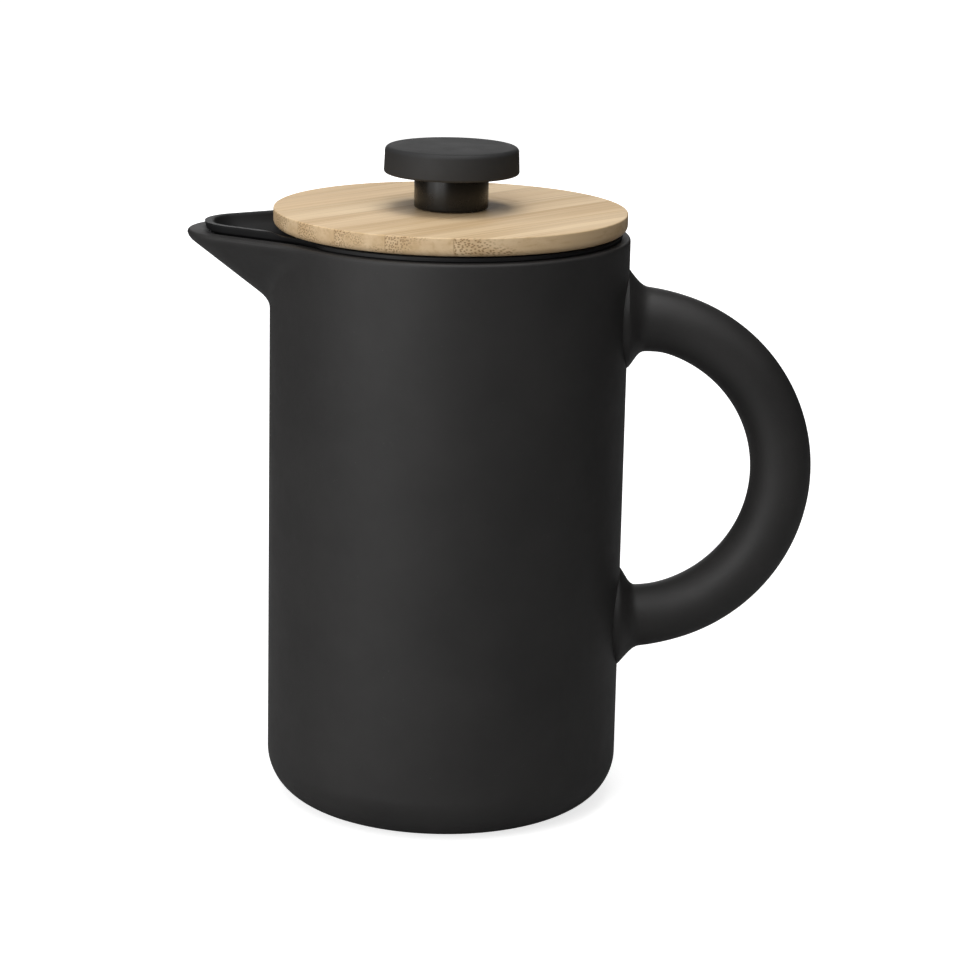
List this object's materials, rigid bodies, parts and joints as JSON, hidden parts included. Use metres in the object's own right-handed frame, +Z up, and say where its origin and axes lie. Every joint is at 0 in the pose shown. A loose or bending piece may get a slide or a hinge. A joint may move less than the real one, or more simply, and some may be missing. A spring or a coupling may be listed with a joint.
{
  "type": "french press",
  "caption": "Cylindrical stoneware french press with a pulled pouring spout, loop handle, flat bamboo lid, and a knob on a rod that drives a sprung filter.",
  "frame": {"origin": "centre of the pot's flat base, on the pot's axis", "axes": "+Z up along the pot's axis, out of the knob's top; -X towards the spout, +X towards the handle; +Y across"},
  "size_m": [0.1758, 0.0998, 0.1867],
  "materials": {
    "stoneware": "matte",
    "bamboo": "satin",
    "black_plastic": "satin",
    "knob_plastic": "matte",
    "silicone": "matte",
    "steel": "satin",
    "brass": "satin"
  },
  "bodies": {
    "pot": {"pot": "stoneware"},
    "lid": {"lid_disc": "bamboo", "lid_collar": "black_plastic", "lid_seal": "silicone", "lid_screw_1": "steel", "lid_screw_2": "steel", "lid_screw_3": "steel"},
    "guide": {"rod_guide": "steel", "guide_clip": "steel"},
    "plunger": {"knob_cap": "knob_plastic", "knob_stem": "black_plastic", "knob_insert": "brass", "plunger_rod": "steel", "rod_hub": "steel", "spiral_plate": "steel", "edge_spring": "steel", "mesh_screen": "steel", "cross_plate": "steel", "washer": "steel", "lock_nut": "steel"}
  },
  "joints": [
    {"name": "lid_lift", "type": "slide", "parent": "pot", "child": "lid", "axis": [0, 0, 1], "range_m": [0, 0.17]},
    {"name": "plunger_spin", "type": "hinge", "parent": "lid", "child": "guide", "pos_m": [0, 0, 0.16], "axis": [0, 0, 1], "continuous": true},
    {"name": "plunger_slide", "type": "slide", "parent": "guide", "child": "plunger", "axis": [0, 0, 1], "range_m": [0, 0.112]}
  ]
}
